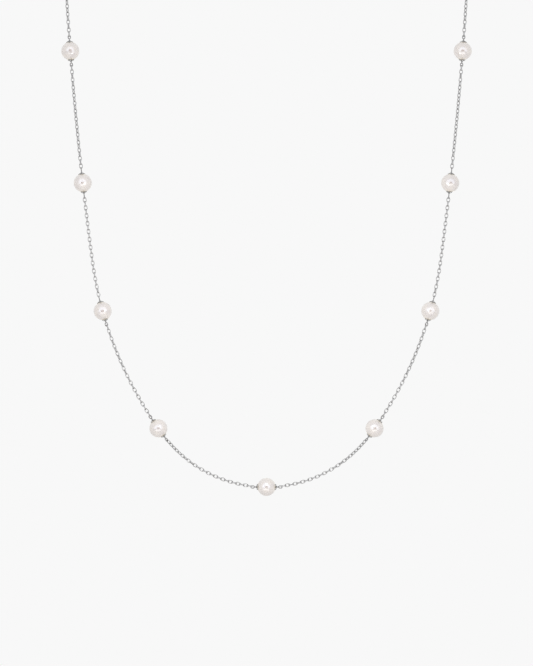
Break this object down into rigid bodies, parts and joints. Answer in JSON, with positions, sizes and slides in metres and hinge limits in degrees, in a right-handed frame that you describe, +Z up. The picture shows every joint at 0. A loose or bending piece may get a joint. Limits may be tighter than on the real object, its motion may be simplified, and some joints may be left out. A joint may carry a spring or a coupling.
{
  "type": "station necklace",
  "caption": "Fine cable chain necklace with round pearls at even steps, each held between two pierced caps, closed at the nape by a spring ring clasp.",
  "frame": {"origin": "middle of the loop at the nape, inside the spring ring clasp, where the necklace sits on the back of the neck", "axes": "+Z up, +X to the right as seen from the front, -Y towards the viewer, who sees the front of the necklace"},
  "size_m": [0.101, 0.0465, 0.16],
  "materials": {
    "pearl": "lustrous off-white nacre",
    "silver": "polished silver"
  },
  "bodies": {
    "root": {"pearl_1": "pearl", "pearl_2": "pearl", "pearl_3": "pearl", "pearl_4": "pearl", "pearl_5": "pearl", "pearl_6": "pearl", "pearl_7": "pearl", "pearl_8": "pearl", "pearl_9": "pearl", "cap_1_left": "silver", "cap_1_right": "silver", "cap_2_left": "silver", "cap_2_right": "silver", "cap_3_left": "silver", "cap_3_right": "silver", "cap_4_left": "silver", "cap_4_right": "silver", "cap_5_left": "silver", "cap_5_right": "silver", "cap_6_left": "silver", "cap_6_right": "silver", "cap_7_left": "silver", "cap_7_right": "silver", "cap_8_left": "silver", "cap_8_right": "silver", "cap_9_left": "silver", "cap_9_right": "silver", "pin_1": "silver", "pin_2": "silver", "pin_3": "silver", "pin_4": "silver", "pin_5": "silver", "pin_6": "silver", "pin_7": "silver", "pin_8": "silver", "pin_9": "silver", "chain_1_2": "silver", "chain_2_3": "silver", "chain_3_4": "silver", "chain_4_5": "silver", "chain_5_6": "silver", "chain_6_7": "silver", "chain_7_8": "silver", "chain_8_9": "silver", "chain_back_left": "silver", "chain_back_right": "silver", "clasp": "silver", "clasp_ring": "silver", "end_ring": "silver"}
  },
  "joints": []
}
